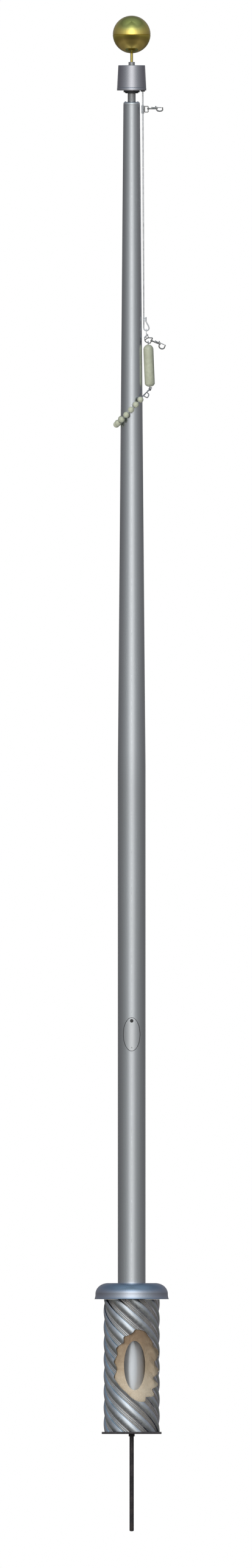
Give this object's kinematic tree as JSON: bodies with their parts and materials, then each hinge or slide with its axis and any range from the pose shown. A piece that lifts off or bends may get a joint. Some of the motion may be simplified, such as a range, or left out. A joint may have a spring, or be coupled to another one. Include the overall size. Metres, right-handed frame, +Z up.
{
  "type": "internal halyard flagpole with ground sleeve",
  "caption": "Tapered aluminium flagpole with a gilt ball, revolving truck, halyard with snaps, counterweight and bead ring, access door, flash collar and corrugated ground sleeve.",
  "frame": {"origin": "on the pole's axis at the ground line, in the plane of the flash collar's foot", "axes": "+Z up the pole; the access door faces -Y; the halyard and its snaps hang on the +X side"},
  "size_m": [0.341, 0.341, 6.9474],
  "materials": {
    "shaft_aluminium": "satin anodised",
    "collar_aluminium": "spun, satin",
    "bearing_metal": "dark oxide",
    "spindle_steel": "turned",
    "gilt": "mirror gold anodised",
    "galvanised": "galvanised, spangled",
    "black_steel": "mill scale",
    "dry_sand": "matt, grainy",
    "wire_rope": "stranded",
    "snap_metal": "dark nickel",
    "weight_sleeve": "moulded, semi-gloss",
    "bead_plastic": "moulded, semi-gloss",
    "black_plastic": "satin black"
  },
  "bodies": {
    "pole": {"shaft_foot": "shaft_aluminium", "shaft_access": "shaft_aluminium", "shaft_middle": "shaft_aluminium", "shaft_upper": "shaft_aluminium", "pole_cap": "shaft_aluminium", "cap_screws": "bearing_metal", "spindle": "spindle_steel", "retaining_ring": "bearing_metal", "door_frame": "shaft_aluminium", "flash_collar": "collar_aluminium", "ground_sleeve": "galvanised", "sand_fill": "dry_sand", "sleeve_base_plate": "black_steel", "earth_spike": "black_steel"},
    "truck": {"truck_hood": "shaft_aluminium", "truck_plate": "bearing_metal", "truck_boss": "spindle_steel", "finial_rod": "gilt", "ball_lower": "gilt", "ball_upper": "gilt", "bearing_housing": "bearing_metal", "housing_bolts": "bearing_metal", "sheave": "spindle_steel", "sheave_pin": "spindle_steel", "sheave_bracket": "bearing_metal", "halyard_guide": "black_plastic", "halyard_inner_run": "wire_rope", "halyard_cable": "wire_rope", "snap_hitch": "wire_rope", "upper_snap_eye": "snap_metal", "cable_ferrule": "wire_rope", "cable_loop": "wire_rope", "drop_link": "wire_rope", "link_barrel": "snap_metal", "lower_snap_eye": "snap_metal", "counterweight": "weight_sleeve", "counterweight_top_eye": "snap_metal", "counterweight_bottom_eye": "snap_metal", "ring_clip": "snap_metal", "ring_wire": "wire_rope", "ring_beads": "bead_plastic"},
    "upper_snap": {"upper_snap_hook": "snap_metal"},
    "upper_bolt": {"upper_snap_bolt": "snap_metal"},
    "lower_snap": {"lower_snap_hook": "snap_metal"},
    "lower_bolt": {"lower_snap_bolt": "snap_metal"},
    "door": {"door_panel": "shaft_aluminium", "door_screw": "spindle_steel"},
    "lock": {"lock_cylinder": "black_plastic"}
  },
  "joints": [
    {"name": "truck_spin", "type": "hinge", "parent": "pole", "child": "truck", "pos_m": [0, 0, 5.55], "axis": [0, 0, 1], "continuous": true},
    {"name": "upper_snap_swivel", "type": "hinge", "parent": "truck", "child": "upper_snap", "pos_m": [0.0755, 0, 5.457], "axis": [1, 0, 0], "continuous": true},
    {"name": "upper_bolt_slide", "type": "slide", "parent": "upper_snap", "child": "upper_bolt", "axis": [-1, 0, 0], "range_m": [0, 0.009], "stiffness_N_per_m": 250, "springref_m": -0.004},
    {"name": "lower_snap_swivel", "type": "hinge", "parent": "truck", "child": "lower_snap", "pos_m": [0.0906, 0, 4.3934], "axis": [0.9272, 0, -0.3746], "continuous": true},
    {"name": "lower_bolt_slide", "type": "slide", "parent": "lower_snap", "child": "lower_bolt", "axis": [-0.9272, 0, 0.3746], "range_m": [0, 0.009], "stiffness_N_per_m": 250, "springref_m": -0.004},
    {"name": "door_lift_off", "type": "slide", "parent": "pole", "child": "door", "axis": [0, -1, 0], "range_m": [0, 0.15]},
    {"name": "lock_turn", "type": "hinge", "parent": "door", "child": "lock", "pos_m": [0, -0.0635, 1.276], "axis": [0, -1, 0], "range_deg": [0, 90]}
  ]
}
